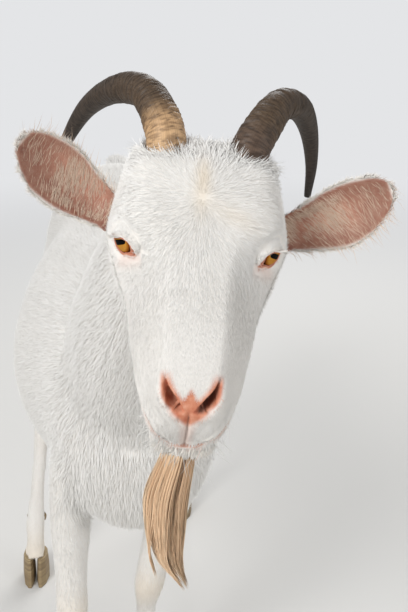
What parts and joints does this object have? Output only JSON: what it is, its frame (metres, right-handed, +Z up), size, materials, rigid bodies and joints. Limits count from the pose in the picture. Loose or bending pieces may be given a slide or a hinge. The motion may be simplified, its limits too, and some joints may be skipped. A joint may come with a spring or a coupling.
{
  "type": "standing goat figure",
  "caption": "Life-size standing horned white dairy goat with a beard, short coat, cloven hooves and head turned to look ahead.",
  "frame": {"origin": "on the floor, below the middle of the whole body's box", "axes": "+Z up, the goat faces -Y, its left side is +X"},
  "size_m": [0.4662, 1.3306, 1.0487],
  "materials": {
    "coat": "short dense white hair with a faint cream tinge",
    "beard": "long straight golden cream hair",
    "bare_skin": "soft pink skin with very short hair",
    "horn": "ridged grey-brown horn, smoother and darker at the tip",
    "hoof": "fine-grained tan hoof horn",
    "eye": "wet amber eye with a dark bar pupil"
  },
  "bodies": {
    "root": {"beard": "beard", "ear_left": "coat", "ear_right": "coat", "eye_left": "eye", "eye_right": "eye", "foreleg_left": "coat", "foreleg_left_claw_left": "hoof", "foreleg_left_claw_right": "hoof", "foreleg_left_dewclaw_left": "hoof", "foreleg_left_dewclaw_right": "hoof", "foreleg_right": "coat", "foreleg_right_claw_left": "hoof", "foreleg_right_claw_right": "hoof", "foreleg_right_dewclaw_left": "hoof", "foreleg_right_dewclaw_right": "hoof", "head": "coat", "hindleg_left": "coat", "hindleg_left_claw_left": "hoof", "hindleg_left_claw_right": "hoof", "hindleg_left_dewclaw_left": "hoof", "hindleg_left_dewclaw_right": "hoof", "hindleg_right": "coat", "hindleg_right_claw_left": "hoof", "hindleg_right_claw_right": "hoof", "hindleg_right_dewclaw_left": "hoof", "hindleg_right_dewclaw_right": "hoof", "horn_left": "horn", "horn_right": "horn", "jaw": "coat", "neck": "coat", "tail": "coat", "trunk": "coat", "udder": "bare_skin"}
  },
  "joints": []
}
